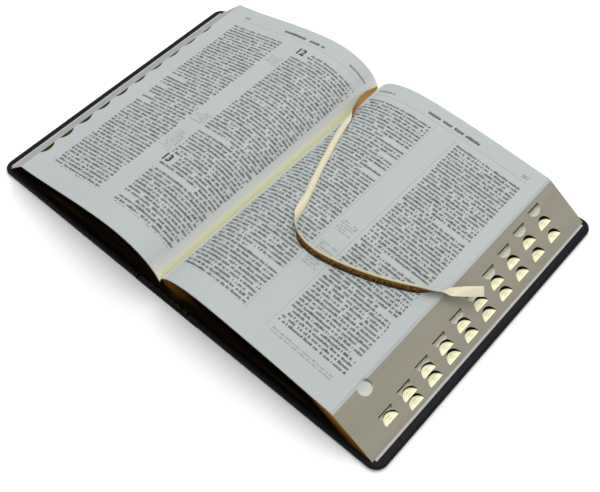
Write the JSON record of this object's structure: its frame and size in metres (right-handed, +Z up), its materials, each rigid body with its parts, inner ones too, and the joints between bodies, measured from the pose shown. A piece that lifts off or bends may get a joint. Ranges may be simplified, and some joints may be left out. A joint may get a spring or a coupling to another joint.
{
  "type": "open book",
  "caption": "Thick leather-bound reference book lying open, with a stepped thumb index cut into its fore-edge and a ribbon marker across one page.",
  "frame": {"origin": "middle of the open case, on the surface that the book lies on", "axes": "+X across the spread towards the right cover's fore-edge, +Y up the page towards the head, +Z up"},
  "size_m": [0.386, 0.247, 0.047],
  "materials": {
    "page_paper": "uncoated thin printing paper",
    "label_paper": "cream paper",
    "endpaper": "heavier uncoated paper",
    "case_leather": "grained, satin",
    "board": "grey pressed board",
    "spine_card": "plain card",
    "band_thread": "woven thread",
    "ribbon": "satin weave"
  },
  "bodies": {
    "book": {"head_band": "band_thread", "left_endleaf": "endpaper", "lower_index_label_1": "label_paper", "lower_index_label_2": "label_paper", "lower_index_label_3": "label_paper", "lower_index_label_4": "label_paper", "lower_index_label_5": "label_paper", "lower_index_label_6": "label_paper", "lower_index_label_7": "label_paper", "lower_index_label_8": "label_paper", "lower_index_label_9": "label_paper", "middle_index_label_1": "label_paper", "middle_index_label_10": "label_paper", "middle_index_label_2": "label_paper", "middle_index_label_3": "label_paper", "middle_index_label_4": "label_paper", "middle_index_label_5": "label_paper", "middle_index_label_6": "label_paper", "middle_index_label_7": "label_paper", "middle_index_label_8": "label_paper", "middle_index_label_9": "label_paper", "page_block": "page_paper", "ribbon_marker": "ribbon", "right_endleaf": "endpaper", "spine_inlay": "spine_card", "spine_leather": "case_leather", "spine_lining": "spine_card", "tail_band": "band_thread"},
    "left_cover": {"left_cover_leather": "case_leather", "left_cover_board": "board", "left_pastedown": "endpaper"},
    "right_cover": {"right_cover_leather": "case_leather", "right_cover_board": "board", "right_pastedown": "endpaper"}
  },
  "joints": [
    {"name": "left_cover_hinge", "type": "hinge", "parent": "book", "child": "left_cover", "pos_m": [-0.0255, 0, 0.0006], "axis": [0, -1, 0], "range_deg": [0, 90]},
    {"name": "right_cover_hinge", "type": "hinge", "parent": "book", "child": "right_cover", "pos_m": [0.0255, 0, 0.0006], "axis": [0, 1, 0], "range_deg": [0, 90]}
  ]
}
